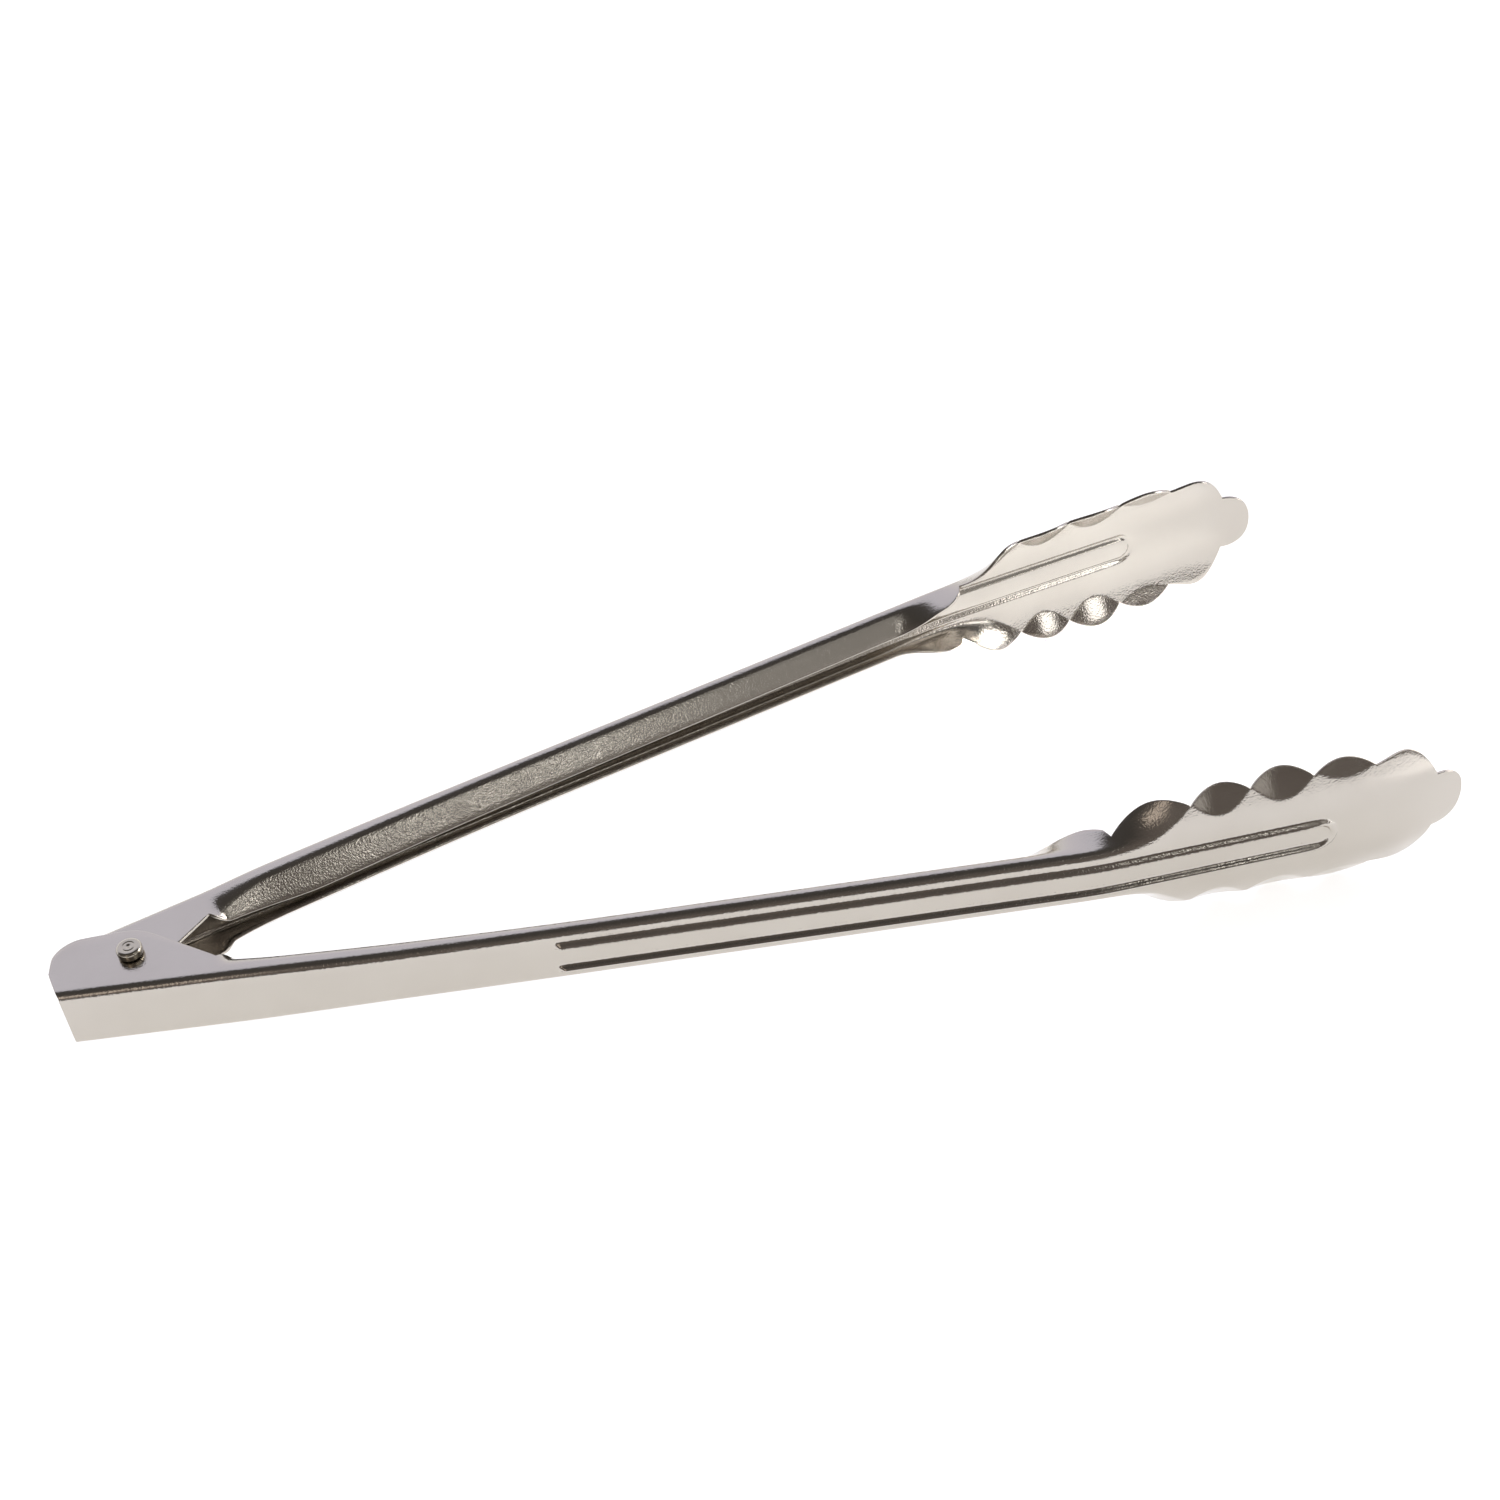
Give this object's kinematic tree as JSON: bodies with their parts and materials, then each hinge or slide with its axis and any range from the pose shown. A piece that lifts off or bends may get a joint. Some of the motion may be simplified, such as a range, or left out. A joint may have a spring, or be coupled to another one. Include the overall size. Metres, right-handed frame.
{
  "type": "spring loaded kitchen tongs",
  "caption": "Slim sheet-steel kitchen tongs: two channel-section arms on a rivet, pushed open by a torsion spring, each ending in a shallow scooped head with a scalloped rim.",
  "frame": {"origin": "on the hinge rivet's axis, at the flat end of its lower head", "axes": "+Z along the rivet towards its upper head, +X from the hinge to the scooped heads midway between the open arms, +Y towards the inner arm"},
  "size_m": [0.3001, 0.1103, 0.035],
  "materials": {
    "stamped_steel": "bright rolled stainless sheet, satin on the webs, fine orange-peel grain in the pressed bends",
    "rivet_steel": "bright turned head with a faint warm tint",
    "spring_steel": "drawn stainless wire"
  },
  "bodies": {
    "outer_side": {"outer_arm": "stamped_steel", "hinge_rivet": "rivet_steel", "torsion_spring": "spring_steel"},
    "inner_side": {"inner_arm": "stamped_steel"}
  },
  "joints": [
    {"name": "squeeze", "type": "hinge", "parent": "outer_side", "child": "inner_side", "pos_m": [0, 0, 0.0101], "axis": [0, 0, -1], "range_deg": [0, 20.6], "stiffness_Nm_per_rad": 1, "springref_deg": -17.19, "deforming": ["torsion_spring"]}
  ]
}
